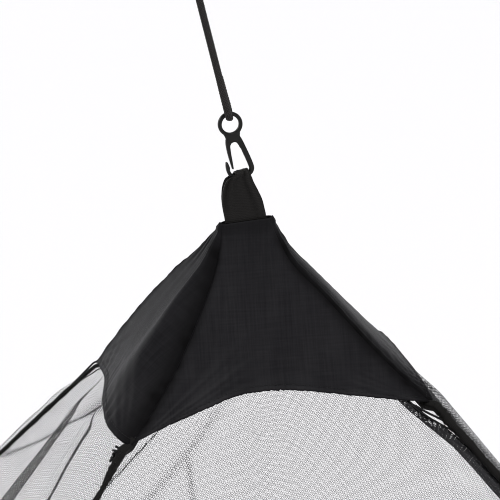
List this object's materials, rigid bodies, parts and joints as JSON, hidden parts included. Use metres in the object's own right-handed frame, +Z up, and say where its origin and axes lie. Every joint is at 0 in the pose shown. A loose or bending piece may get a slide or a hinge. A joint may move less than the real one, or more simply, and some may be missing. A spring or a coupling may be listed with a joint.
{
  "type": "mosquito net tent",
  "caption": "Pyramid mosquito net tent hung from a cord and snap hook, with a woven cap over fine net walls and taped corners.",
  "frame": {"origin": "the inside crown of the cord's top loop, where a ceiling hook holds the tent; everything else hangs below it", "axes": "+Z up, +X along the long side of the floor hem, +Y from the front wall to the back wall"},
  "size_m": [2.1043, 1.4046, 1.5328],
  "materials": {
    "cord": "black braided synthetic cord",
    "hook": "black moulded plastic with a soft sheen",
    "webbing": "black woven webbing",
    "cap": "black plain-woven polyester with a soft sheen",
    "net": "fine black knitted net, about four fifths open",
    "tape": "black rolled seam tape"
  },
  "bodies": {
    "root": {"cord": "cord", "cord_knot": "cord", "cord_loop": "cord", "snap_hook": "hook", "hanging_loop": "webbing", "cap_front": "cap", "cap_right": "cap", "cap_back": "cap", "cap_left": "cap", "net_front": "net", "net_right": "net", "net_back": "net", "net_left": "net", "tape_front_left": "tape", "tape_front_right": "tape", "tape_back_right": "tape", "tape_back_left": "tape"}
  },
  "joints": []
}
